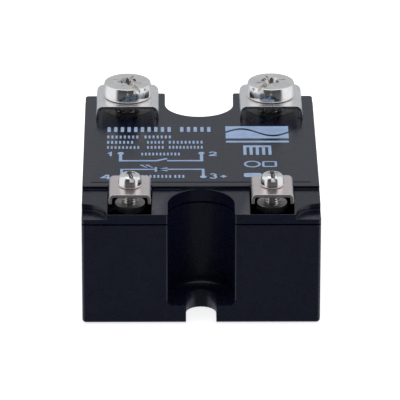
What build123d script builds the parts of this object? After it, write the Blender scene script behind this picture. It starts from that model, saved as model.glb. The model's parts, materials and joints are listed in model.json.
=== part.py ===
from build123d import *
import os

# Panel-mount solid state relay, "puck" style.  Millimetres, +Z up.
# Origin: centre of the relay on its mounting surface.
# -Y is the control end (terminals 3 and 4), +Y is the load end (terminals 1 and 2).

# ---- driving dimensions -----------------------------------------------------
length = 58.2
width = 44.8
housing_lift = 0.1          # the base plate stands this proud of the housing
seam_z = 20.12              # top of the lower housing
seam_gap = 0.24             # visible joint line under the cover
ledge_z = 22.3              # cover top at the control end's face
ledge_rise = 0.6            # from there up to the step
deck_z = 23.5               # cover top over the rest of the relay
corner_r = 0.7
mouth_r = 0.5
wall = 1.8
skirt = 0.8                 # cover skirt outside the housing's tongue
lap_clearance = 0.05
tongue_h = 0.43

# ---- mounting ---------------------------------------------------------------
mount_pitch = 47.6
front_hole_y = -24.45
back_hole_y = front_hole_y + mount_pitch
notch_floor_z = 3.7
front_notch_r = 6.25
back_notch_r = 6.7
back_notch_y = 23.5
slot_r = 2.85
hole_r = 2.65
liner = 1.0                 # plastic lining round the slot and the hole
plate_t = 2.8
plate_fit = 0.05
foot_r = 0.65
notch_round_r = 0.8         # between a notch's wall and its floor
step_y = front_hole_y + front_notch_r
clear_z = deck_z + 1        # cutters that open upwards end here

# ---- cover details ----------------------------------------------------------
scallop_r = 4.7
front_scallop_z = ledge_z - 1.0
back_scallop_z = deck_z - 0.55
groove_y = step_y + 1.85
groove_w = 0.3
groove_d = 0.15
groove_l = 41.5
deck_t = 1.6
ledge_t = 1.4

# ---- power terminals (load end, M5) ------------------------------------------
power_x = 14.05
power_y = 21.3
power_clamp_w = 11.9
power_clamp_d = 11.8
power_clamp_h = 2.65
power_sheet = 0.7
power_bend_r = 1.2
power_bush_r = 4.8
power_bush_bottom = 14.5
power_collar_r = 5.3
power_collar_z = 17.5
power_collar_t = 2.0
boss_r = 5.4
m5_shank_r = 2.45
m5_head_r = 4.8
m5_head_h = 3.0
m5_length = 9.0
m5_recess_turn = 30         # degrees

# ---- control terminals (control end, M3) -------------------------------------
control_x = 13.35
control_y = -22.65
control_clamp_w = 7.9
control_clamp_d = 9.5
control_clamp_h = 1.92
control_sheet = 0.6
control_bend_r = 1.0
control_clamp_foot_z = 23.7
control_bush_r = 2.85
control_bush_bottom = 13.2
well_w = 8.3
well_floor_z = 20.5
well_wall = 0.9
well_back_y = step_y + 0.45
well_front_y = -26.9
well_bend_d = 0.5           # between the well's floor and its front ramp
well_bend_h = 0.6
well_rim = 0.15             # left standing in front of the ramp
m3_shank_r = 1.45
m3_head_r = 2.25
m3_head_h = 2.45
m3_length = 9.0

bore_clearance = 0.05       # radial, screw shank in its threaded bush
clamp_clearance = 0.1       # radial, screw shank in its clamp plate
head_gap = 0.05

# ---- screw proportions ----------------------------------------------------------
head_round = 0.3            # of the head's height
recess_depth = 0.6          # of the head's height
recess_span = 1.2           # of the head's radius
recess_w = 0.26             # of the head's radius
tip_chamfer = 0.3           # of the shank's radius

# ---- power circuit on the base plate ------------------------------------------
ceramic_w = 26.0
ceramic_l = 25.0
ceramic_t = 0.63
ceramic_y = 1.5
track_t = 0.3
track_gap = 1.2
track_margin = 0.5
chip = 8.0
chip_t = 0.35
chip_x = 6.5
chip_y = 4.0
bridge_t = 0.5
bridge_w = 4.0
bridge_outer_x = -8.5
bridge_drop_x = 1.6
bridge_foot_x = 4.8
bridge_slope = 0.4
strap_t = 0.8
strap_w = 6.0
strap_outer_x = 12.4
strap_arm_half_w = 4.4
strap_foot_y = 9.5
strap_riser_y = 13.0
pin_r = 0.4
pin_x = 11.5
pin_near_y = 4.5
pin_pitch = 3.0

# ---- drive electronics ---------------------------------------------------------
board_z = 9.6
board_t = 1.6
board_w = 38.8
board_front_y = -26.6
board_back_y = 12.0
board_clearance = 0.3
gel_top_z = 8.6
tab_w = 2.5
tab_t = 0.8
tab_reach = 0.8             # how far a control tab goes into the board
tab_slot_play = 0.2
lead_r = 0.35
part_lift = 0.3             # gap under the components
coupler_w = 8.6
coupler_d = 6.4
coupler_h = 3.5
coupler_y = -8.0
coupler_lift = 0.8
coupler_pitch = 2.54
leg_w = 0.6
leg_t = 0.3
leg_reach = 0.9
leg_z = 2.3
capacitor_l = 13.0
capacitor_d = 6.0
capacitor_h = 9.0
capacitor_x = -11.0
capacitor_y = 5.5
capacitor_lead_x = 5.0
capacitor_corner_r = 0.6
limiter_x = -12.0
limiter_y = -5.0
limiter_r = 2.3
limiter_flat = 1.5          # from the centre to the flat face
limiter_h = 4.6
limiter_leg_l = 2.0
limiter_leg_t = 0.4
limiter_pitch = 1.27
resistor_r = 1.15
resistor_l = 6.2
resistor_x = 12.5
resistor_first_y = -7.0
resistor_pitch = 3.4
small_lead_l = 9.0
snubber_r = 2.0
snubber_l = 11.0
snubber_lead_l = 15.0
snubber_x = 9.0
snubber_y = 6.0
diode_r = 1.35
diode_l = 5.2
diode_x = -12.0
diode_y = -12.0

track_z = plate_t + ceramic_t
chip_z = track_z + track_t
board_top = board_z + board_t


# ---- helpers --------------------------------------------------------------------
def prism(sketch, z0, z1):
    """The sketch extruded from one height to another."""
    return Pos(0, 0, z0) * extrude(sketch, z1 - z0)


def block(x0, x1, y0, y1, z0, z1):
    """A box between two corners."""
    centre = Pos((x0 + x1) / 2, (y0 + y1) / 2, (z0 + z1) / 2)
    return centre * Box(abs(x1 - x0), abs(y1 - y0), abs(z1 - z0))


def post(x, y, radius, z0, z1):
    """An upright cylinder."""
    return Pos(x, y, z0) * extrude(Circle(radius), z1 - z0)


def lying_cylinder(x, y, z, radius, size):
    """A cylinder along X, centred on the point."""
    return Pos(x, y, z) * Rot(0, 90, 0) * Cylinder(radius, size)


def end_slot(centre_y, radius, side):
    """A U open towards one end face: side -1 is the control end, +1 the load end."""
    reach = length / 2 + radius - abs(centre_y)
    channel = Pos(0, centre_y + side * reach / 2) * Rectangle(2 * radius, reach)
    return channel + Pos(0, centre_y) * Circle(radius)


def rectangle_inset(inset):
    """The plan of the relay, moved in by the inset."""
    return RectangleRounded(width - 2 * inset, length - 2 * inset, corner_r)


def shell_plan(inset):
    """The plan with both end notches, each wall moved in by the inset."""
    front = end_slot(front_hole_y, front_notch_r + inset, -1)
    back = end_slot(back_notch_y, back_notch_r + inset, 1)
    return rectangle_inset(inset) - front - back


def round_mouths(sketch):
    """Rounds the corners where the notches meet the end faces."""
    mouths = []
    for vertex in sketch.vertices():
        at_end = abs(abs(vertex.Y) - length / 2) < 0.01
        if at_end and abs(vertex.X) < back_notch_r + 1:
            mouths.append(vertex)
    return fillet(mouths, mouth_r)


# ---- casing -----------------------------------------------------------------------
def notch_hollow(centre_y, radius, side):
    """The space of an end notch, rounded where its wall meets its floor."""
    hollow = prism(end_slot(centre_y, radius, side), notch_floor_z, seam_z)
    return fillet(hollow.edges().group_by(Axis.Z)[0], notch_round_r)


def make_housing():
    """Lower moulding: four walls, two screw notches with floors, tongue for the cover."""
    foot = prism(rectangle_inset(0), housing_lift, notch_floor_z)
    foot = fillet(foot.edges().group_by(Axis.Z)[0], foot_r)
    foot -= prism(end_slot(front_hole_y, slot_r, -1), 0, notch_floor_z)
    foot -= post(0, back_hole_y, hole_r, 0, notch_floor_z)
    shoulder_z = notch_floor_z + notch_round_r
    shoulder = prism(rectangle_inset(0), notch_floor_z, shoulder_z)
    shoulder -= notch_hollow(front_hole_y, front_notch_r, -1)
    shoulder -= notch_hollow(back_notch_y, back_notch_r, 1)
    walls = prism(round_mouths(shell_plan(0)), shoulder_z, seam_z)
    tongue = prism(shell_plan(skirt), seam_z, seam_z + tongue_h)
    cavity = prism(shell_plan(wall), plate_t, seam_z + tongue_h)
    recess = prism(plate_plan(0), 0, plate_t)
    return foot + shoulder + walls + tongue - cavity - recess


def plate_plan(clearance):
    """Plan of the base plate, clear of the linings round the slot and the hole."""
    lined_slot = end_slot(front_hole_y, slot_r + liner + clearance, -1)
    lined_hole = Pos(0, back_hole_y) * Circle(hole_r + liner + clearance)
    return rectangle_inset(wall + clearance) - lined_slot - lined_hole


def make_base_plate():
    """Metal plate that carries the heat to the heat sink."""
    return prism(plate_plan(plate_fit), 0, plate_t)


def well_profile(grow):
    """Side view of a control terminal's well: level floor, then a ramp to the front."""
    ramp_top_y = well_rim - length / 2
    points = [
        (well_back_y + grow, clear_z),
        (well_back_y + grow, well_floor_z - grow),
        (well_front_y, well_floor_z - grow),
        (well_front_y - well_bend_d - grow / 2, well_floor_z + well_bend_h - grow / 2),
        (ramp_top_y, ledge_z),
        (ramp_top_y, clear_z),
    ]
    return make_face(Polyline(*points, close=True))


def well_solid(x, half_width, grow):
    """The well's side view given its width, standing at x."""
    profile = Plane.YZ * well_profile(grow)
    return Pos(x, 0, 0) * extrude(profile, half_width, both=True)


def above_ledge():
    """Everything over the ledge, which rises a little from the end face to the step."""
    overrun = 1
    slope = ledge_rise / (step_y + length / 2)
    points = [
        (step_y, clear_z),
        (step_y, ledge_z + ledge_rise),
        (-length / 2 - overrun, ledge_z - slope * overrun),
        (-length / 2 - overrun, clear_z),
    ]
    profile = Plane.YZ * make_face(Polyline(*points, close=True))
    return extrude(profile, width, both=True)


def make_cover():
    """Top moulding: deck, lower ledge at the control end, wells and bosses."""
    under = seam_z + seam_gap
    cover = prism(round_mouths(shell_plan(0)), under, deck_z)
    inside = prism(shell_plan(wall), under, deck_z - deck_t)
    thick_ledge = block(-width, width, -length, step_y + deck_t, ledge_z - ledge_t, deck_z)
    cover -= inside - thick_ledge
    cover -= prism(shell_plan(skirt - lap_clearance), under, seam_z + tongue_h + lap_clearance)
    inner_plan = prism(shell_plan(wall + lap_clearance), control_bush_bottom, ledge_z)
    for side in (-1, 1):
        well = well_solid(side * control_x, well_w / 2 + well_wall, well_wall)
        cover += (well & inner_plan)
        cover += post(side * power_x, power_y, boss_r, power_collar_z, deck_z)
    cover -= above_ledge()
    for side in (-1, 1):
        cover -= well_solid(side * control_x, well_w / 2, 0)
        cover -= post(side * control_x, control_y, control_bush_r, 0, deck_z)
        cover -= post(side * power_x, power_y, power_bush_r, 0, deck_z)
        cover -= post(side * width / 2, -length / 2, scallop_r, front_scallop_z, deck_z)
        cover -= post(side * width / 2, length / 2, scallop_r, back_scallop_z, deck_z)
    half_groove = groove_l / 2
    cover -= block(-half_groove, half_groove, groove_y, groove_y + groove_w, deck_z - groove_d, deck_z)
    return cover


# ---- terminals ----------------------------------------------------------------------
def make_saddle(clamp_w, clamp_d, clamp_h, sheet, bend_r, hole):
    """Bent plate with two legs, standing on z = 0 and centred on its screw hole."""
    outer = Pos(0, clamp_h / 2) * Rectangle(clamp_w, clamp_h)
    outer = fillet(outer.vertices().group_by(Axis.Y)[-1], bend_r)
    inner_h = clamp_h - sheet
    inner = Pos(0, inner_h / 2) * Rectangle(clamp_w - 2 * sheet, inner_h)
    inner = fillet(inner.vertices().group_by(Axis.Y)[-1], bend_r - sheet)
    saddle = Rot(90, 0, 0) * extrude(outer - inner, clamp_d / 2, both=True)
    return saddle - post(0, 0, hole, 0, clamp_h)


def make_screw(head_r, head_h, shank_r, shank_l):
    """Pan head screw with a cross recess; the head's underside is at z = 0."""
    head = post(0, 0, head_r, 0, head_h)
    head = fillet(head.edges().group_by(Axis.Z)[-1], head_h * head_round)
    depth = head_h * recess_depth
    wing = Box(head_r * recess_span, head_r * recess_w, depth)
    recess = wing + Rot(0, 0, 90) * wing
    shank = post(0, 0, shank_r, -shank_l, 0)
    tip = shank.edges().group_by(Axis.Z)[0]
    return chamfer(tip, shank_r * tip_chamfer) + head - Pos(0, 0, head_h - depth / 2) * recess


def make_power_bush(x):
    """Threaded brass post, flush with the deck and held under the cover's boss."""
    bush = post(x, power_y, power_bush_r, power_bush_bottom, deck_z)
    collar_bottom = power_collar_z - power_collar_t
    bush += post(x, power_y, power_collar_r, collar_bottom, power_collar_z)
    return bush - post(x, power_y, m5_shank_r + bore_clearance, power_bush_bottom, deck_z)


def make_control_bush(x):
    """Threaded brass post standing in the control terminal's well."""
    bush = post(x, control_y, control_bush_r, control_bush_bottom, ledge_z)
    return bush - post(x, control_y, m3_shank_r + bore_clearance, control_bush_bottom, ledge_z)


def make_power_strap(side):
    """Copper strap: foot on the copper track, riser, and an arm under the bush."""
    x0 = side * strap_outer_x
    x1 = x0 - side * strap_w
    foot = block(x0, x1, strap_foot_y, strap_riser_y, chip_z, chip_z + strap_t)
    riser = block(x0, x1, strap_riser_y, strap_riser_y + strap_t, chip_z, power_bush_bottom)
    arm_plan = make_face(
        Polyline(
            (x0, strap_riser_y),
            (x1, strap_riser_y),
            (side * (power_x - strap_arm_half_w), power_y),
            (side * (power_x + strap_arm_half_w), power_y),
            close=True,
        )
    )
    arm_plan += Pos(side * power_x, power_y) * Circle(power_bush_r)
    arm = prism(arm_plan, power_bush_bottom - strap_t, power_bush_bottom)
    return foot + riser + arm


def make_control_strap(x):
    """Washer under the control bush with a tab that drops through the board."""
    washer = post(x, control_y, control_bush_r, control_bush_bottom - strap_t, control_bush_bottom)
    tab_top = control_bush_bottom - strap_t
    tab = block(x - tab_w / 2, x + tab_w / 2, control_y, control_y + tab_t, board_z - tab_reach, tab_top)
    return washer + tab


# ---- power circuit ----------------------------------------------------------------
def make_ceramic():
    """Insulating ceramic tile soldered to the base plate."""
    return Pos(0, ceramic_y, plate_t) * extrude(Rectangle(ceramic_w, ceramic_l), ceramic_t)


def make_copper_tracks():
    """Two copper fields on the ceramic, one for each load terminal."""
    track_w = (ceramic_w - track_gap) / 2 - track_margin
    tracks = []
    for side in (-1, 1):
        x = side * (track_gap + track_w) / 2
        plan = Pos(x, ceramic_y) * Rectangle(track_w, ceramic_l - 2 * track_margin)
        tracks.append(prism(plan, track_z, chip_z))
    return Compound(children=tracks)


def make_chips():
    """Two thyristor chips back to back, one on each copper field."""
    chips = []
    for side in (-1, 1):
        x = side * chip_x
        plan = Pos(x, -side * chip_y) * Rectangle(chip, chip)
        chips.append(prism(plan, chip_z, chip_z + chip_t))
    return Compound(children=chips)


def make_bridges():
    """Two copper clips, each from the top of a chip to the other field."""
    top = chip_z + chip_t
    profile = make_face(
        Polyline(
            (bridge_outer_x, top),
            (bridge_drop_x, top),
            (bridge_drop_x + bridge_slope, chip_z),
            (bridge_foot_x, chip_z),
            (bridge_foot_x, chip_z + bridge_t),
            (bridge_drop_x + 1.5 * bridge_slope, chip_z + bridge_t),
            (bridge_drop_x + 0.5 * bridge_slope, top + bridge_t),
            (bridge_outer_x, top + bridge_t),
            close=True,
        )
    )
    clip = Rot(90, 0, 0) * extrude(profile, bridge_w / 2, both=True)
    left = Pos(0, chip_y, 0) * clip
    return Compound(children=[left, Rot(0, 0, 180) * left])


def gate_pin_places():
    """Where the four drive pins stand on the copper fields."""
    places = []
    for side in (-1, 1):
        for distance in (pin_near_y, pin_near_y + pin_pitch):
            places.append((side * pin_x, side * distance))
    return places


def make_gate_pins():
    """Pins that carry the firing signals from the board to the copper fields."""
    return Compound(children=[post(x, y, pin_r, chip_z, board_z) for x, y in gate_pin_places()])


# ---- drive electronics ------------------------------------------------------------
def make_board():
    """Circuit board round the control-end notch, slotted for the control tabs."""
    depth = board_back_y - board_front_y
    plan = Pos(0, (board_back_y + board_front_y) / 2) * Rectangle(board_w, depth)
    plan -= end_slot(front_hole_y, front_notch_r + wall + board_clearance, -1)
    for side in (-1, 1):
        slot = Rectangle(tab_w + tab_slot_play, tab_t + tab_slot_play)
        plan -= Pos(side * control_x, control_y + tab_t / 2) * slot
    return prism(plan, board_z, board_top)


def make_optocoupler():
    """Six-pin coupler body, raised on its legs."""
    bottom = board_top + coupler_lift
    near = coupler_y - coupler_d / 2
    far = coupler_y + coupler_d / 2
    return block(-coupler_w / 2, coupler_w / 2, near, far, bottom, bottom + coupler_h)


def make_optocoupler_legs():
    """The coupler's six bent legs."""
    legs = []
    for row in (-1, 1):
        near = coupler_y + row * coupler_d / 2
        far = near + row * leg_reach
        top = board_top + leg_z + leg_t
        for place in (-coupler_pitch, 0, coupler_pitch):
            x0 = place - leg_w / 2
            x1 = place + leg_w / 2
            shoulder = block(x0, x1, near, far, top - leg_t, top)
            legs.append(shoulder + block(x0, x1, far - row * leg_t, far, board_top, top))
    return Compound(children=legs)


def axial_part(x, y, radius, body_l, lead_l):
    """Lying resistor or diode with its two leads bent down to the board."""
    z = board_top + radius + part_lift
    part = lying_cylinder(x, y, z, radius, body_l)
    for end in (-1, 1):
        tip = x + end * lead_l / 2
        part += lying_cylinder((x + end * body_l / 2 + tip) / 2, y, z, lead_r, (lead_l - body_l) / 2)
        part += block(tip - lead_r, tip + lead_r, y - lead_r, y + lead_r, board_top, z + lead_r)
    return part


def make_gate_resistors():
    """Two small resistors in the firing circuit."""
    resistors = []
    for y in (resistor_first_y, resistor_first_y + resistor_pitch):
        resistors.append(axial_part(resistor_x, y, resistor_r, resistor_l, small_lead_l))
    return Compound(children=resistors)


def make_snubber_resistor():
    """Resistor in series with the snubber capacitor."""
    return axial_part(snubber_x, snubber_y, snubber_r, snubber_l, snubber_lead_l)


def make_input_diode():
    """Diode that blocks a reversed control voltage."""
    return axial_part(diode_x, diode_y, diode_r, diode_l, small_lead_l)


def make_snubber_capacitor():
    """Film capacitor that damps fast voltage rises across the load terminals."""
    bottom = board_top + part_lift
    plan = Pos(capacitor_x, capacitor_y) * RectangleRounded(capacitor_l, capacitor_d, capacitor_corner_r)
    capacitor = prism(plan, bottom, bottom + capacitor_h)
    for side in (-1, 1):
        capacitor += post(capacitor_x + side * capacitor_lead_x, capacitor_y, lead_r, board_top, bottom)
    return capacitor


def make_current_limiter():
    """Input transistor that holds the coupler current level over the control range."""
    beyond_flat = Pos(0, -limiter_flat - limiter_r) * Rectangle(2 * limiter_r, 2 * limiter_r)
    plan = Pos(limiter_x, limiter_y) * (Circle(limiter_r) - beyond_flat)
    bottom = board_top + limiter_leg_l
    limiter = prism(plan, bottom, bottom + limiter_h)
    leg = Pos(limiter_x, limiter_y) * Rectangle(limiter_leg_t, limiter_leg_t)
    for place in (-limiter_pitch, 0, limiter_pitch):
        limiter += prism(Pos(place, 0) * leg, board_top, bottom)
    return limiter


def make_gel(inner_parts):
    """Soft potting that covers the power circuit, poured round everything in it."""
    pour = prism(shell_plan(wall), plate_t, gel_top_z)
    for part in inner_parts:
        pour -= part
    return pour


# ---- put it together --------------------------------------------------------------
nodes = {
    "housing": make_housing(),
    "cover": make_cover(),
    "base_plate": make_base_plate(),
    "ceramic_tile": make_ceramic(),
    "copper_tracks": make_copper_tracks(),
    "thyristor_chips": make_chips(),
    "chip_bridges": make_bridges(),
    "gate_pins": make_gate_pins(),
    "circuit_board": make_board(),
    "optocoupler": make_optocoupler(),
    "optocoupler_legs": make_optocoupler_legs(),
    "gate_resistors": make_gate_resistors(),
    "snubber_resistor": make_snubber_resistor(),
    "snubber_capacitor": make_snubber_capacitor(),
    "input_diode": make_input_diode(),
    "current_limiter": make_current_limiter(),
}

for side, number in ((-1, 1), (1, 2)):
    x = side * power_x
    saddle = make_saddle(
        power_clamp_w, power_clamp_d, power_clamp_h, power_sheet, power_bend_r,
        m5_shank_r + clamp_clearance,
    )
    screw = make_screw(m5_head_r, m5_head_h, m5_shank_r, m5_length)
    seat_z = deck_z + power_clamp_h + head_gap
    nodes[f"power_bush_{number}"] = make_power_bush(x)
    nodes[f"power_strap_{number}"] = make_power_strap(side)
    nodes[f"power_clamp_{number}"] = Pos(x, power_y, deck_z) * saddle
    nodes[f"power_screw_{number}"] = Pos(x, power_y, seat_z) * Rot(0, 0, side * m5_recess_turn) * screw

for side, number in ((1, 3), (-1, 4)):
    x = side * control_x
    saddle = make_saddle(
        control_clamp_w, control_clamp_d, control_clamp_h, control_sheet, control_bend_r,
        m3_shank_r + clamp_clearance,
    )
    screw = make_screw(m3_head_r, m3_head_h, m3_shank_r, m3_length)
    seat_z = control_clamp_foot_z + control_clamp_h + head_gap
    nodes[f"control_bush_{number}"] = make_control_bush(x)
    nodes[f"control_strap_{number}"] = make_control_strap(x)
    nodes[f"control_clamp_{number}"] = Pos(x, control_y, control_clamp_foot_z) * saddle
    nodes[f"control_screw_{number}"] = Pos(x, control_y, seat_z) * screw

potted = ["ceramic_tile", "copper_tracks", "thyristor_chips", "chip_bridges", "gate_pins"]
potted += ["power_strap_1", "power_strap_2"]
nodes["potting_gel"] = make_gel([nodes[name] for name in potted])

os.makedirs("parts", exist_ok=True)
for name, shape in nodes.items():
    export_step(shape, f"parts/{name}.step")
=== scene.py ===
import json
import math

import bmesh
import bpy
from mathutils import Matrix, Vector


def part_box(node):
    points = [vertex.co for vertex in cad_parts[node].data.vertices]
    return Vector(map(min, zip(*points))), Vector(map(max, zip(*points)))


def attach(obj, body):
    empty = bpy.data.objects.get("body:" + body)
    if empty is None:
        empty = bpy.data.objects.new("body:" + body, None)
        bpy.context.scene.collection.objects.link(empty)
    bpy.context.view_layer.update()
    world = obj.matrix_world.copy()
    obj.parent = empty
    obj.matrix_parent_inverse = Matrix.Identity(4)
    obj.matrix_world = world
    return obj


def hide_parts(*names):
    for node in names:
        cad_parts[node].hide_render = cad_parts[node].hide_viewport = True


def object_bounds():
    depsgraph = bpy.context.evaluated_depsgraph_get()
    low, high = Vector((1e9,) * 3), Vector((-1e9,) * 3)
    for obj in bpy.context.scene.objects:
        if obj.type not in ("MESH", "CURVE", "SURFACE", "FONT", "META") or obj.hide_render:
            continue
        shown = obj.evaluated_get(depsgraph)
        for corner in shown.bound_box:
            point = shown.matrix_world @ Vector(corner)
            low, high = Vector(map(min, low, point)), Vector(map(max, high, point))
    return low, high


# Solid state relay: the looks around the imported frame.  Metres, the frame's own axes.

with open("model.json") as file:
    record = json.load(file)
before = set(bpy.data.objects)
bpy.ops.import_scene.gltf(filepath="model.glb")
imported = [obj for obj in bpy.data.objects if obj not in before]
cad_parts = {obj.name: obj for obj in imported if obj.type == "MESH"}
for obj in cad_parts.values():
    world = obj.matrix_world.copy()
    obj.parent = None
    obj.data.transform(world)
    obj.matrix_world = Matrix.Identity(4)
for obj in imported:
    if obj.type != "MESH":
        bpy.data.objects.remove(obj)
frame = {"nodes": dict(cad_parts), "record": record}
cad_low, cad_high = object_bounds()

MM = 0.001

# ---- camera and studio ---------------------------------------------------------
view_azimuth = math.radians(-0.513)
view_elevation = math.radians(23.09)
view_distance = 895.25 * MM
view_height = 12.90 * MM
view_roll = math.radians(0.080)
lens_mm = 417.13
sensor_mm = 36.0

floor_size = 12.0
floor_albedo = 0.82
floor_glow = 0.74
world_front_high = 0.06       # brightness of the light tent, by direction
world_front_low = 0.11
world_side = 0.90
world_back = 0.525
world_top = 0.78
front_band = (-0.5, -0.72)    # Y along the ground where the sides turn into the front
back_band = (0.35, 0.8)       # and into the back
horizon_band = (-0.15, 0.1)   # Z where the front's low part turns into its high part
top_band = (0.75, 0.95)       # and where everything turns into the top
light_tint = (0.905, 0.948, 1.0)
lamp_place = (0.0, 0.1, 1.1)
lamp_size = 0.9
lamp_power = 1.75

# ---- finishes --------------------------------------------------------------------
mottle_size = 2.6 * MM        # patches of slightly different colour
smear_size = 0.9 * MM         # patches of slightly different gloss
swell_size = 5.0 * MM         # slow waves in a moulded or plated face

# ---- edges and saddles -----------------------------------------------------------
weld = 0.03 * MM              # corners closer than this are one
flat_angle = math.radians(0.5)
sharp_angle = math.radians(40)
casing_edge = 0.14 * MM
clamp_edge = 0.10 * MM
bush_edge = 0.18 * MM
saddle_sheet = 0.7 * MM
leg_splay = 0.2 * MM
splay_from = 0.6              # of half a saddle's width
shear_lean = 0.28 * MM        # how far a power clamp's sheared edge leans in under the plate

# ---- screws ----------------------------------------------------------------------
# A head narrows upwards by its draft, and is rounded by lip_r below and edge_r above.  The slot
# runs out of one side, the wings are the cross recess, and the ticks are strokes between the wings.
head_gap = 0.05 * MM          # between a head and its clamp
m5 = {
    "shank_r": 2.45 * MM,
    "pitch": 0.8 * MM,
    "slot_w": 1.2 * MM,
    "slot_depth": 0.9 * MM,
    "wing_reach": 2.7 * MM,
    "wing_w": 1.6 * MM,
    "wing_depth": 2.0 * MM,
    "tick_reach": 3.0 * MM,
    "draft": 0.27 * MM,
    "lip_r": 0.45 * MM,
    "edge_r": 0.22 * MM,
    "dome": 0.14 * MM,
}
m3 = {
    "shank_r": 1.45 * MM,
    "pitch": 0.5 * MM,
    "slot_w": 0.8 * MM,
    "slot_depth": 0.9 * MM,
    "wing_reach": 1.4 * MM,
    "wing_w": 0.95 * MM,
    "wing_depth": 1.6 * MM,
    "tick_reach": 0.0,         # no ticks
    "draft": 0.12 * MM,
    "lip_r": 0.25 * MM,
    "edge_r": 0.95 * MM,
    "dome": 0.18 * MM,
}
tick_w = 0.3 * MM
tick_depth = 0.16 * MM
slot_angle = {                # where each slot points, from X towards Y
    "power_screw_1": math.radians(-67),
    "power_screw_2": math.radians(-117),
    "control_screw_3": math.radians(-86),
    "control_screw_4": math.radians(-80),
}
thread_share = 0.55         # depth of the thread, of its pitch
flank_gain = 1.3            # over 1 leaves the crest and the root flat
root_share = 0.15
slot_reach = 1.2            # of the head's radius, so that the slot runs out of the rim
wing_taper = 0.35           # length at the recess's floor, of its length at the top
rim_break = 0.05 * MM
recess_sharp_angle = math.radians(35)
around = 72                 # segments round a screw
rows_per_pitch = 10
arc_steps = 7
side_shares = (0.15, 0.3, 0.45, 0.6, 0.75, 0.9)
crown_shares = (0.8, 0.6, 0.4, 0.2)

# ---- marking on the deck -----------------------------------------------------------
ink_h = 0.03 * MM
ink_sink = 0.01 * MM        # printed a little into the deck
ink_step = 0.002 * MM       # between crossing lines
thick_line = 0.62 * MM
thin_line = 0.44 * MM
fine_line = 0.26 * MM
digit_line = 0.42 * MM
circuit_line = 0.85 * thick_line
letter_pitch = 0.5          # of a row's height
letter_share = 0.5          # of the pitch
letter_corner = 0.3         # of a letter's bar
mitre_limit = 0.3
dot_r = 0.62                # millimetres on the deck from here on, like the outlines
panel_x = (5.0, 17.2)


# ---- shader helpers ------------------------------------------------------------------
def add_node(tree, kind, values=None, **settings):
    """Adds a node; a value is a constant, or the output socket that feeds it."""
    made = tree.nodes.new(kind)
    for key, value in settings.items():
        setattr(made, key, value)
    for key, value in (values or {}).items():
        if isinstance(value, bpy.types.NodeSocket):
            tree.links.new(value, made.inputs[key])
        else:
            made.inputs[key].default_value = value
    return made


def noise(tree, place, size, detail=3.0):
    """Noise between about 0 and 1 whose lumps are the given size."""
    values = {"Vector": place, "Scale": 1 / size, "Detail": detail}
    return add_node(tree, "ShaderNodeTexNoise", values).outputs["Fac"]


def remap(tree, value, low, high, to_low, to_high):
    """Maps low..high to to_low..to_high, smoothly and clamped."""
    values = {"Value": value, "From Min": low, "From Max": high, "To Min": to_low, "To Max": to_high}
    made = add_node(tree, "ShaderNodeMapRange", values, interpolation_type="SMOOTHSTEP")
    return made.outputs["Result"]


def shades(tree, factor, dark, light):
    """A colour between dark and light."""
    made = add_node(tree, "ShaderNodeValToRGB", {"Fac": factor})
    made.color_ramp.elements[0].color = (*dark, 1)
    made.color_ramp.elements[1].color = (*light, 1)
    return made.outputs["Color"]


def surface(name, color, roughness, relief, grain, metallic=0.0, specular=0.5, stretch=(1, 1, 1),
            variation=0.10, uneven=0.06, wave=0.0):
    """Principled finish: mottled colour, uneven roughness and fine relief."""
    material = bpy.data.materials.new(name)
    material.use_nodes = True
    tree = material.node_tree
    tree.nodes.clear()
    place = add_node(tree, "ShaderNodeTexCoord").outputs["Object"]
    drawn = add_node(tree, "ShaderNodeMapping", {"Vector": place, "Scale": stretch}).outputs["Vector"]
    mottle = noise(tree, place, mottle_size, 5.0)
    dark = [channel * (1 - variation) for channel in color]
    light = [min(1.0, channel * (1 + variation)) for channel in color]
    paint = shades(tree, remap(tree, mottle, 0.35, 0.65, 0, 1), dark, light)
    smear = noise(tree, drawn, smear_size, 4.0)
    rough = remap(tree, smear, 0.3, 0.7, roughness - uneven, roughness + uneven)
    fine = noise(tree, drawn, grain, 2.0)
    bump = add_node(tree, "ShaderNodeBump", {"Height": fine, "Distance": relief, "Strength": 1.0})
    if wave:
        swell = noise(tree, place, swell_size, 1.0)
        values = {"Height": swell, "Distance": wave, "Strength": 1.0, "Normal": bump.outputs["Normal"]}
        bump = add_node(tree, "ShaderNodeBump", values)
    values = {
        "Base Color": paint,
        "Roughness": rough,
        "Normal": bump.outputs["Normal"],
        "Metallic": metallic,
        "Specular IOR Level": specular,
    }
    shader = add_node(tree, "ShaderNodeBsdfPrincipled", values)
    add_node(tree, "ShaderNodeOutputMaterial", {"Surface": shader.outputs["BSDF"]})
    return material


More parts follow.
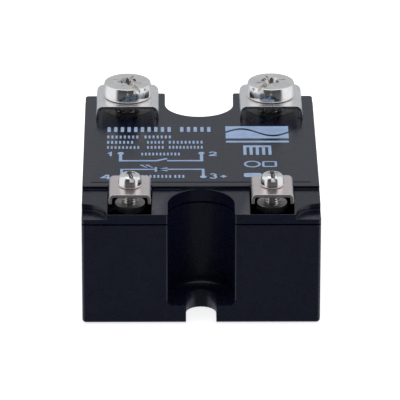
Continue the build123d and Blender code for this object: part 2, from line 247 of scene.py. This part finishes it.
# ---- materials --------------------------------------------------------------------------
def make_materials():
    """Every finish by its name: the record's slots, a darker copy of the bush metal that carries painted
    shade for the power bushes, a warmer clamp metal and the marking ink.
    """
    finish = {}

    def add(name, *look, **details):
        finish[name] = surface(name, *look, **details)

    add("housing_black", (0.0045, 0.006, 0.018), 0.30, 0.003 * MM, 0.11 * MM,
        specular=0.5, variation=0.06, wave=0.002 * MM)
    add("cover_black", (0.004, 0.006, 0.017), 0.23, 0.003 * MM, 0.10 * MM,
        specular=0.45, variation=0.06, wave=0.002 * MM)
    add("base_metal", (0.62, 0.61, 0.58), 0.34, 0.004 * MM, 0.08 * MM,
        metallic=1.0, stretch=(1, 0.04, 1), variation=0.06, uneven=0.08)
    add("clamp_nickel", (0.93, 0.90, 0.90), 0.30, 0.0008 * MM, 0.15 * MM,
        metallic=1.0, stretch=(1, 0.25, 1), variation=0.03, uneven=0.04, wave=0.002 * MM)
    add("clamp_warm", (0.82, 0.74, 0.72), 0.30, 0.0008 * MM, 0.15 * MM,
        metallic=1.0, stretch=(1, 0.25, 1), variation=0.04, uneven=0.04, wave=0.002 * MM)
    # A darker copy of the bush metal: painted shade for the power bushes' tops, which lie in the shade
    # under their clamps.
    add("bush_painted_shade", (0.24, 0.235, 0.23), 0.40, 0.001 * MM, 0.1 * MM, metallic=1.0, variation=0.07)
    add("screw_nickel", (0.93, 0.90, 0.87), 0.15, 0.001 * MM, 0.2 * MM,
        metallic=1.0, variation=0.05, uneven=0.05, wave=0.004 * MM)
    add("bush_brass", (0.50, 0.48, 0.46), 0.38, 0.001 * MM, 0.1 * MM, metallic=1.0, variation=0.07)
    add("copper", (0.72, 0.36, 0.22), 0.3, 0.003 * MM, 0.1 * MM, metallic=1.0, variation=0.12)
    add("ceramic_white", (0.82, 0.82, 0.79), 0.55, 0.004 * MM, 0.08 * MM, variation=0.03)
    add("chip_silicon", (0.09, 0.10, 0.13), 0.18, 0.001 * MM, 0.3 * MM, variation=0.15)
    add("gel_clear", (0.52, 0.50, 0.42), 0.2, 0.01 * MM, 1.5 * MM, variation=0.06, wave=0.03 * MM)
    add("board_green", (0.02, 0.14, 0.05), 0.32, 0.008 * MM, 0.35 * MM, variation=0.2)
    add("component_black", (0.02, 0.02, 0.021), 0.5, 0.008 * MM, 0.12 * MM, variation=0.15)
    add("tinned_wire", (0.62, 0.62, 0.60), 0.3, 0.003 * MM, 0.1 * MM, metallic=1.0, variation=0.08)
    add("capacitor_box", (0.42, 0.06, 0.035), 0.3, 0.004 * MM, 0.2 * MM, variation=0.1)
    add("resistor_paint", (0.20, 0.33, 0.42), 0.4, 0.008 * MM, 0.25 * MM, variation=0.12)
    add("marking_ink", (0.42, 0.55, 0.79), 0.6, 0.004 * MM, 0.06 * MM, specular=0.3, variation=0.08)
    return finish


finish = make_materials()


# ---- putting pieces on the frame -------------------------------------------------------------
def body_of(node):
    """The body that carries a CAD node."""
    for body, members in frame["record"]["behaviour"]["bodies"].items():
        if node in members:
            return body


def slot_of(node):
    """The record's material slot of a CAD node."""
    for part in frame["record"]["subparts"]:
        if part["node"] == node:
            return part["material_slot"]


def piece_from(mesh, name):
    """A scene object that shows the mesh."""
    piece = bpy.data.objects.new(name, mesh)
    bpy.context.scene.collection.objects.link(piece)
    return piece


def stand_for(piece, node, look=None):
    """The piece takes the node's finish or its own, follows its body and is shown in its place."""
    piece.data.materials.clear()
    piece.data.materials.append(finish[look or slot_of(node)])
    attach(piece, body_of(node))
    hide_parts(node)


def apply_modifiers(piece):
    """Makes the piece's modifiers part of its mesh."""
    shown = piece.evaluated_get(bpy.context.evaluated_depsgraph_get())
    mesh = bpy.data.meshes.new_from_object(shown)
    piece.modifiers.clear()
    piece.data = mesh


def plain_copy(node):
    """The node's shape as a new mesh, welded, with its flat faces whole."""
    source = frame["nodes"][node].data
    mesh = bpy.data.meshes.new(node + "_shape")
    corners = [vertex.co for vertex in source.vertices]
    mesh.from_pydata(corners, [], [list(face.vertices) for face in source.polygons])
    shape = bmesh.new()
    shape.from_mesh(mesh)
    bmesh.ops.remove_doubles(shape, verts=shape.verts, dist=weld)
    bmesh.ops.dissolve_limit(shape, angle_limit=flat_angle, verts=shape.verts, edges=shape.edges)
    shape.to_mesh(mesh)
    shape.free()
    return mesh


def softened(node, edge, name, reshape=None, look=None):
    """Shows the node's shape smoothly shaded, its sharp edges rounded when an edge width is given."""
    mesh = plain_copy(node)
    if reshape:
        reshape(mesh, node)
    mesh.polygons.foreach_set("use_smooth", [True] * len(mesh.polygons))
    piece = piece_from(mesh, name)
    if edge:
        bevel = piece.modifiers.new("edges", "BEVEL")
        bevel.width = edge
        bevel.segments = 3
        bevel.limit_method = "ANGLE"
        bevel.angle_limit = sharp_angle
        bevel.use_clamp_overlap = False
    else:
        mesh.set_sharp_from_angle(angle=sharp_angle)
    weighted = piece.modifiers.new("normals", "WEIGHTED_NORMAL")
    weighted.keep_sharp = True
    apply_modifiers(piece)
    for vertex in piece.data.vertices:
        vertex.co = [min(max(value, a), b) for value, a, b in zip(vertex.co, cad_low, cad_high)]
    stand_for(piece, node, look)


def splay(mesh, node):
    """Leans a saddle's legs out a little towards their feet."""
    low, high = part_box(node)
    centre = (low.x + high.x) / 2
    for vertex in mesh.vertices:
        side = math.copysign(1, vertex.co.x - centre)
        reach = abs(vertex.co.x - centre) / (high.x - centre)
        drop = (high.z - vertex.co.z) / (high.z - low.z)
        vertex.co.x += side * leg_splay * max(0, reach - splay_from) / (1 - splay_from) * drop


def shear(mesh, node):
    """Leans a saddle's end faces in under the plate, as shears leave them, and splays its legs."""
    low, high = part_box(node)
    middle = (low + high) / 2
    shape = bmesh.new()
    shape.from_mesh(mesh)
    ends = [face for face in shape.faces if abs(face.normal.y) > 0.99]
    bmesh.ops.triangulate(shape, faces=ends)
    inside_x = high.x - middle.x - saddle_sheet + weld
    inside_z = high.z - saddle_sheet + weld
    end_y = high.y - middle.y - weld
    for vertex in shape.verts:
        under = abs(vertex.co.x - middle.x) < inside_x and vertex.co.z < inside_z
        if under and abs(vertex.co.y - middle.y) > end_y:
            vertex.co.y -= math.copysign(shear_lean, vertex.co.y - middle.y)
    shape.to_mesh(mesh)
    shape.free()
    splay(mesh, node)


# ---- screws --------------------------------------------------------------------------------
def ridge(turns):
    """Height of the thread at a number of turns, 0 at the root and 1 at the crest."""
    return min(1, max(0, flank_gain * abs(2 * (turns % 1) - 1) - root_share))


def screw_rows(kind, head_r, bottom, seat, top):
    """The screw's outline from tip to crown: radius, height, and how deep the thread is there."""
    shank_r = kind["shank_r"]
    depth = thread_share * kind["pitch"]
    step = kind["pitch"] / rows_per_pitch
    rows = [(shank_r - depth, bottom, 0)]
    count = int((seat - bottom) / step)
    for index in range(1, count):
        z = bottom + index * step
        fade = min(1, index / rows_per_pitch, (count - index) / rows_per_pitch)
        rows.append((shank_r, z, depth * fade))
    rows.append((shank_r, seat, 0))
    lip_r, edge_r, draft = kind["lip_r"], kind["edge_r"], kind["draft"]
    rim_r = head_r - draft
    shoulder = top - kind["dome"] - edge_r
    quarter = [math.pi / 2 * index / arc_steps for index in range(arc_steps + 1)]
    for angle in quarter:
        rows.append((head_r - lip_r * (1 - math.sin(angle)), seat + lip_r * (1 - math.cos(angle)), 0))
    side_h = shoulder - seat - lip_r
    for share in side_shares:
        rows.append((head_r - draft * share ** 2, seat + lip_r + side_h * share, 0))
    for angle in quarter:
        rows.append((rim_r - edge_r * (1 - math.cos(angle)), shoulder + edge_r * math.sin(angle), 0))
    crown_r = rim_r - edge_r
    for share in crown_shares:
        rows.append((crown_r * share, top - kind["dome"] * share ** 2, 0))
    return rows


def revolved(rows, axis, pitch, bottom, top):
    """A closed shape turned about an upright axis, with a helical thread where the rows ask."""
    shape = bmesh.new()
    rings = []
    for radius, z, depth in rows:
        ring = []
        for index in range(around):
            turn = index / around
            angle = 2 * math.pi * turn
            r = radius - depth * (1 - ridge(z / pitch - turn))
            ring.append(shape.verts.new((axis.x + r * math.cos(angle), axis.y + r * math.sin(angle), z)))
        rings.append(ring)
    for below, above in zip(rings, rings[1:]):
        for index in range(around):
            after = (index + 1) % around
            shape.faces.new((below[index], below[after], above[after], above[index]))
    for ring, z, flip in ((rings[0], bottom, True), (rings[-1], top, False)):
        pole = shape.verts.new((axis.x, axis.y, z))
        for index in range(around):
            corners = (ring[index], ring[(index + 1) % around], pole)
            shape.faces.new(corners[::-1] if flip else corners)
    return shape


def wedge(start, end, width, taper, top, depth):
    """A recess's space: a bar along X that shortens downwards, and narrows half as much."""
    shape = bmesh.new()
    rings = []
    for z, scale in ((top + depth, 1.0), (top - depth, taper)):
        half_w = width / 2 * ((1 + scale) / 2)
        corners = ((start, -half_w), (end, -half_w), (end, half_w), (start, half_w))
        rings.append([shape.verts.new((x * scale, y, z)) for x, y in corners])
    above, below = rings
    shape.faces.new(above)
    shape.faces.new(below[::-1])
    for index in range(4):
        after = (index + 1) % 4
        shape.faces.new((above[index], below[index], below[after], above[after]))
    bmesh.ops.recalc_face_normals(shape, faces=shape.faces)
    return shape


def cut(piece, shape, angle, axis):
    """Takes the shape, turned about the axis, out of the piece; cut faces get material slot 1."""
    place = Matrix.Translation((axis.x, axis.y, 0)) @ Matrix.Rotation(angle, 4, "Z")
    bmesh.ops.transform(shape, matrix=place, verts=shape.verts)
    for face in shape.faces:
        face.material_index = 1
    mesh = bpy.data.meshes.new("cutter")
    shape.to_mesh(mesh)
    shape.free()
    for material in piece.data.materials:
        mesh.materials.append(material)
    cutter = piece_from(mesh, "cutter")
    boolean = piece.modifiers.new("recess", "BOOLEAN")
    boolean.operation = "DIFFERENCE"
    boolean.solver = "EXACT"
    boolean.object = cutter
    apply_modifiers(piece)
    bpy.data.objects.remove(cutter)


def break_rim(mesh, width):
    """Rounds the edges where cut faces meet turned ones."""
    shape = bmesh.new()
    shape.from_mesh(mesh)
    rim = [e for e in shape.edges if len({face.material_index for face in e.link_faces}) == 2]
    bmesh.ops.bevel(
        shape, geom=rim, offset=width, segments=2, profile=0.5, affect="EDGES", clamp_overlap=True,
    )
    for face in shape.faces:
        face.material_index = 0
        face.smooth = True
    shape.to_mesh(mesh)
    shape.free()


def make_screw(node, clamp, kind):
    """Shows a screw as a pan head with a slotted cross recess and a cut thread."""
    low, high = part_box(node)
    axis = (low + high) / 2
    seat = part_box(clamp)[1].z + head_gap
    head_r = (high.x - low.x) / 2
    rows = screw_rows(kind, head_r, low.z, seat, high.z)
    shape = revolved(rows, axis, kind["pitch"], low.z, high.z)
    mesh = bpy.data.meshes.new(node + "_turned")
    shape.to_mesh(mesh)
    shape.free()
    piece = piece_from(mesh, node + "_detailed")
    for material in (finish["screw_nickel"], finish["clamp_nickel"]):
        mesh.materials.append(material)
    angle = slot_angle[node]
    crown = high.z - kind["dome"]
    slot = wedge(0, head_r * slot_reach, kind["slot_w"], 1.0, crown, kind["slot_depth"])
    cut(piece, slot, angle, axis)
    reach = kind["wing_reach"]
    tick = kind["tick_reach"]
    for quarter in (0, math.pi / 2):
        wings = wedge(-reach, reach, kind["wing_w"], wing_taper, crown, kind["wing_depth"])
        cut(piece, wings, angle + quarter, axis)
        if tick:
            mark = wedge(-tick, tick, tick_w, 1.0, high.z, kind["dome"] + tick_depth)
            cut(piece, mark, angle + quarter + math.pi / 4, axis)
    break_rim(piece.data, rim_break)
    piece.data.set_sharp_from_angle(angle=recess_sharp_angle)
    stand_for(piece, node)


# ---- marking -------------------------------------------------------------------------------
def raise_outline(shape, outline, base, top):
    """A thin plate of ink with the outline, given in millimetres on the deck."""
    low = [shape.verts.new((x * MM, y * MM, base)) for x, y in outline]
    high = [shape.verts.new((x * MM, y * MM, top)) for x, y in outline]
    shape.faces.new(high)
    shape.faces.new(low[::-1])
    for index in range(len(outline)):
        after = (index + 1) % len(outline)
        shape.faces.new((low[index], low[after], high[after], high[index]))


def arc(x, y, radius, start, end, steps):
    """Points on an arc, angles in degrees."""
    angles = [math.radians(start + (end - start) * index / steps) for index in range(steps + 1)]
    return [(x + radius * math.cos(a), y + radius * math.sin(a)) for a in angles]


def bar(x0, x1, y0, y1, corner=0.3):
    """A rounded bar between two corners."""
    places = ((x1 - corner, y1 - corner, 0), (x0 + corner, y1 - corner, 90),
              (x0 + corner, y0 + corner, 180), (x1 - corner, y0 + corner, 270))
    outline = []
    for x, y, start in places:
        outline += arc(x, y, corner, start, start + 90, 4)
    return outline


def dot(x, y, radius):
    """A filled round."""
    return arc(x, y, radius, 0, 345, 23)


def stroke(points, width):
    """A line of even width through the points, mitred at its corners."""
    half = width / MM / 2
    left, right = [], []
    for index, (x, y) in enumerate(points):
        before = Vector(points[max(index - 1, 0)])
        after = Vector(points[min(index + 1, len(points) - 1)])
        here = Vector((x, y))
        into = (here - before).normalized() if index else (after - here).normalized()
        out = (after - here).normalized() if index < len(points) - 1 else into
        side = Vector((-(into.y + out.y), into.x + out.x)).normalized()
        reach = half / max(mitre_limit, side.dot(Vector((-into.y, into.x))))
        left.append(tuple(here + side * reach))
        right.append(tuple(here - side * reach))
    return left[::-1] + right


def word(x0, x1, y0, y1):
    """Plain upright bars, two for each letter of a word."""
    count = round((x1 - x0) / (letter_pitch * (y1 - y0)))
    pitch = (x1 - x0) / (count - 1 + letter_share)
    block = pitch * letter_share
    starts = [x0 + pitch * index for index in range(count)]
    return [bar(x, x + block, y0, y1, block * letter_corner) for x in starts]


def text_rows():
    """Rows of plain bars where a relay carries its ratings: bottom, top, and each word's ends."""
    rows = (
        (8.8, 11.3, ((-17.9, -5.6), (-3.8, 2.1))),
        (5.5, 6.95, ((-17.9, -11.9), (-10.7, -5.6))),
        (2.8, 4.2, ((-17.9, -12.9), (-10.2, -7.0), (-6.0, 0.5))),
        (0.25, 1.6, ((-17.9, -11.7), (-10.2, -7.0), (-6.0, 0.5))),
        (-3.1, -1.75, ((-11.3, -3.9),)),
        (-14.2, -12.8, ((-11.2, -5.6), (-5.0, -3.1))),
    )
    outlines = []
    for y0, y1, words in rows:
        for x0, x1 in words:
            outlines += word(x0, x1, y0, y1)
    return outlines


def load_circuit():
    """Contact symbol between terminals 1 and 2."""
    left, right, line_y, top_y = -15.25, 0.25, -5.75, -2.0
    hinge, tip = -8.4, -6.35
    return [
        dot(left, top_y, dot_r),
        dot(right, top_y, dot_r),
        stroke([(left, top_y), (left, line_y), (hinge, line_y), (tip, line_y + 1.05)], thick_line),
        stroke([(tip, line_y), (right, line_y), (right, top_y)], thick_line),
    ]


def control_circuit():
    """Light-emitting diode symbol between terminals 3 and 4."""
    left, right, line_y, low_y = -15.0, 0.5, -10.0, -13.7
    bar_x, base_x = -8.5, -6.3
    outlines = [
        stroke([(left, low_y), (left, line_y), (right, line_y), (right, low_y)], circuit_line),
        dot(right, low_y, dot_r),
        dot(left, low_y, dot_r),
        stroke([(bar_x, line_y + 1.1), (bar_x, line_y - 1.1)], thin_line),
        [(bar_x, line_y), (base_x, line_y - 1.0), (base_x, line_y + 1.0)],
    ]
    ray = Vector((-1.3, 1.25))
    barb = Vector((0.75, -0.1))
    for shift in (0, 1.1):
        start = Vector((-9.1 - shift, -9.1))
        tip = start + ray
        outlines.append(stroke([tuple(start), tuple(tip)], fine_line))
        outlines.append(stroke([tuple(tip), tuple(tip + barb)], fine_line))
    return outlines


def terminal_numbers():
    """The digits 1 to 4 beside their terminals, with the control side's polarity."""
    one = [(-17.7, -2.1), (-17.15, -1.6), (-17.15, -3.4)]
    two_bow = arc(2.4, -2.05, 0.6, 165, -40, 8) + [(1.75, -3.2)]
    two_foot = [(1.65, -3.2), (3.15, -3.2)]
    three_top = arc(2.35, -12.75, 0.5, 155, -90, 8)
    three_foot = arc(2.35, -13.85, 0.6, 90, -155, 8)
    four_side = [(-17.75, -12.7), (-18.75, -14.1), (-17.0, -14.1)]
    four_post = [(-17.55, -12.6), (-17.55, -14.8)]
    plus_x, plus_y, reach = 4.35, -13.5, 0.62
    minus = [(plus_x - reach, plus_y), (plus_x + reach, plus_y)]
    upright = [(plus_x, plus_y - reach), (plus_x, plus_y + reach)]
    lines = (one, two_bow, two_foot, three_top, three_foot, four_side, four_post, minus, upright)
    return [stroke(points, digit_line) for points in lines]


def wave_panel():
    """A filled panel with a sine wave left open across it, in two halves."""
    x0, x1 = panel_x
    y0, y1 = 5.4, 11.6
    middle = (y0 + y1) / 2
    swing, gap = 1.7, 0.42
    steps = 24
    upper, lower = [], []
    for index in range(steps + 1):
        share = index / steps
        x = x0 + (x1 - x0) * share
        y = middle + swing * math.sin(2 * math.pi * share)
        upper.append((x, y + gap))
        lower.append((x, y - gap))
    return [upper + [(x1, y1), (x0, y1)], [(x0, y0), (x1, y0)] + lower[::-1]]


def rule_and_fins():
    """A rule under the panel, and a finned heat sink's outline under the rule."""
    outlines = [bar(*panel_x, 3.3, 4.2)]
    base_y, root_y, tip_y = 1.8, 0.9, -2.9
    x0, x1 = 8.3, 13.7
    fins = 5
    fin_w = (x1 - x0) / (2 * fins - 1)
    outlines.append(bar(x0, x1, root_y, base_y, 0.1))
    for index in range(fins):
        x = x0 + 2 * fin_w * index
        outlines.append(bar(x, x + fin_w, tip_y, root_y + 0.1, 0.1))
    return outlines


def side_marks():
    """A ring, a square and a bar in place of approval marks."""
    outlines = [stroke(arc(9.9, -7.5, 1.4, start, start + 180, 12), thin_line) for start in (0, 180)]
    left, right, low, high = 12.0, 14.4, -8.7, -6.3
    edges = (((left, low), (right, low)), ((left, high), (right, high)),
             ((left, low), (left, high)), ((right, low), (right, high)))
    outlines += [stroke(edge, thin_line) for edge in edges]
    outlines.append(bar(8.2, 11.6, -13.9, -11.9, 0.5))
    return outlines


def make_marking():
    """All the light printing on the cover's deck, as one thin raised piece."""
    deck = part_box("cover")[1].z
    shape = bmesh.new()
    outlines = text_rows() + load_circuit() + control_circuit() + terminal_numbers()
    outlines += wave_panel() + rule_and_fins() + side_marks()
    for index, outline in enumerate(outlines):
        raise_outline(shape, outline, deck - ink_sink, deck + ink_h + index % 4 * ink_step)
    bmesh.ops.recalc_face_normals(shape, faces=shape.faces)
    mesh = bpy.data.meshes.new("deck_marking")
    shape.to_mesh(mesh)
    shape.free()
    piece = piece_from(mesh, "deck_marking")
    mesh.materials.append(finish["marking_ink"])
    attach(piece, body_of("cover"))


# ---- build ---------------------------------------------------------------------------------
for node, shown in frame["nodes"].items():
    shown.material_slots[0].material = finish[slot_of(node)]

softened("housing", None, "housing_moulding")
softened("cover", casing_edge, "cover_moulding")
make_marking()
for number in (1, 2):
    softened(f"power_clamp_{number}", clamp_edge, f"power_clamp_{number}_plate", shear)
    # The power bushes take the darker bush metal, painted shade for where they sit under their clamps.
    softened(f"power_bush_{number}", bush_edge, f"power_bush_{number}_turned", look="bush_painted_shade")
    make_screw(f"power_screw_{number}", f"power_clamp_{number}", m5)
for number in (3, 4):
    softened(f"control_clamp_{number}", clamp_edge, f"control_clamp_{number}_plate", look="clamp_warm")
    softened(f"control_bush_{number}", bush_edge, f"control_bush_{number}_turned")
    make_screw(f"control_screw_{number}", f"control_clamp_{number}", m3)


# ---- studio --------------------------------------------------------------------------------
def make_floor():
    """A pale, faintly glowing table top."""
    half = floor_size / 2
    mesh = bpy.data.meshes.new("floor")
    corners = [(-half, -half, 0), (half, -half, 0), (half, half, 0), (-half, half, 0)]
    mesh.from_pydata(corners, [], [(0, 1, 2, 3)])
    floor = piece_from(mesh, "floor")
    material = bpy.data.materials.new("floor_pale")
    material.use_nodes = True
    shader = material.node_tree.nodes["Principled BSDF"]
    shader.inputs["Base Color"].default_value = (floor_albedo, floor_albedo, floor_albedo, 1)
    shader.inputs["Roughness"].default_value = 0.9
    shader.inputs["Specular IOR Level"].default_value = 0.0
    shader.inputs["Emission Color"].default_value = (1, 1, 1, 1)
    shader.inputs["Emission Strength"].default_value = floor_glow
    mesh.materials.append(material)
    floor.visible_glossy = False


def maths(tree, operation, first, second):
    """The result of a two-value math node."""
    made = tree.nodes.new("ShaderNodeMath")
    made.operation = operation
    for socket, value in zip(made.inputs, (first, second)):
        if isinstance(value, bpy.types.NodeSocket):
            tree.links.new(value, socket)
        else:
            socket.default_value = value
    return made.outputs["Value"]


def blend_values(tree, first, second, factor):
    """first where factor is 0, second where it is 1."""
    change = maths(tree, "MULTIPLY", maths(tree, "SUBTRACT", second, first), factor)
    return maths(tree, "ADD", first, change)


def make_world():
    """A light tent: bright sides and top, softer behind, dark where the camera stands."""
    world = bpy.data.worlds.new("studio")
    bpy.context.scene.world = world
    world.use_nodes = True
    tree = world.node_tree
    tree.nodes.clear()
    direction = add_node(tree, "ShaderNodeTexCoord").outputs["Generated"]
    parts = add_node(tree, "ShaderNodeSeparateXYZ", {"Vector": direction}).outputs
    squared = maths(tree, "MULTIPLY", parts["Z"], parts["Z"])
    above_one = 1.0001  # keeps the root from reaching 0 straight up
    across = maths(tree, "SQRT", maths(tree, "SUBTRACT", above_one, squared), 0)
    facing = maths(tree, "DIVIDE", parts["Y"], across)
    front_level = remap(tree, parts["Z"], *horizon_band, world_front_low, world_front_high)
    level = blend_values(tree, world_side, front_level, remap(tree, facing, *front_band, 0, 1))
    level = blend_values(tree, level, world_back, remap(tree, facing, *back_band, 0, 1))
    level = blend_values(tree, level, world_top, remap(tree, parts["Z"], *top_band, 0, 1))
    values = {"Color": (*light_tint, 1), "Strength": level}
    background = add_node(tree, "ShaderNodeBackground", values)
    add_node(tree, "ShaderNodeOutputWorld", {"Surface": background.outputs["Background"]})


def make_light(name, place, size, power):
    """A square soft light that faces the relay."""
    data = bpy.data.lights.new(name, "AREA")
    data.size = size
    data.energy = power
    lamp = bpy.data.objects.new(name, data)
    lamp.location = place
    lamp.rotation_mode = "QUATERNION"
    lamp.rotation_quaternion = (-Vector(place)).to_track_quat("-Z", "Y")
    bpy.context.scene.collection.objects.link(lamp)


def make_camera():
    """The camera, set by where it stands round the relay."""
    target = Vector((0, 0, view_height))
    flat = math.cos(view_elevation)
    away = Vector((math.sin(view_azimuth) * flat, -math.cos(view_azimuth) * flat, math.sin(view_elevation)))
    data = bpy.data.cameras.new("camera")
    data.lens = lens_mm
    data.sensor_width = sensor_mm
    data.clip_start = 0.01
    data.clip_end = 20.0
    camera = bpy.data.objects.new("camera", data)
    camera.location = target + away * view_distance
    roll = Matrix.Rotation(view_roll, 3, "Z").to_quaternion()
    camera.rotation_mode = "QUATERNION"
    camera.rotation_quaternion = (-away).to_track_quat("-Z", "Y") @ roll
    bpy.context.scene.collection.objects.link(camera)
    bpy.context.scene.camera = camera


bpy.context.scene.view_settings.view_transform = "Standard"
make_floor()
make_world()
make_light("overhead", lamp_place, lamp_size, lamp_power)
make_camera()
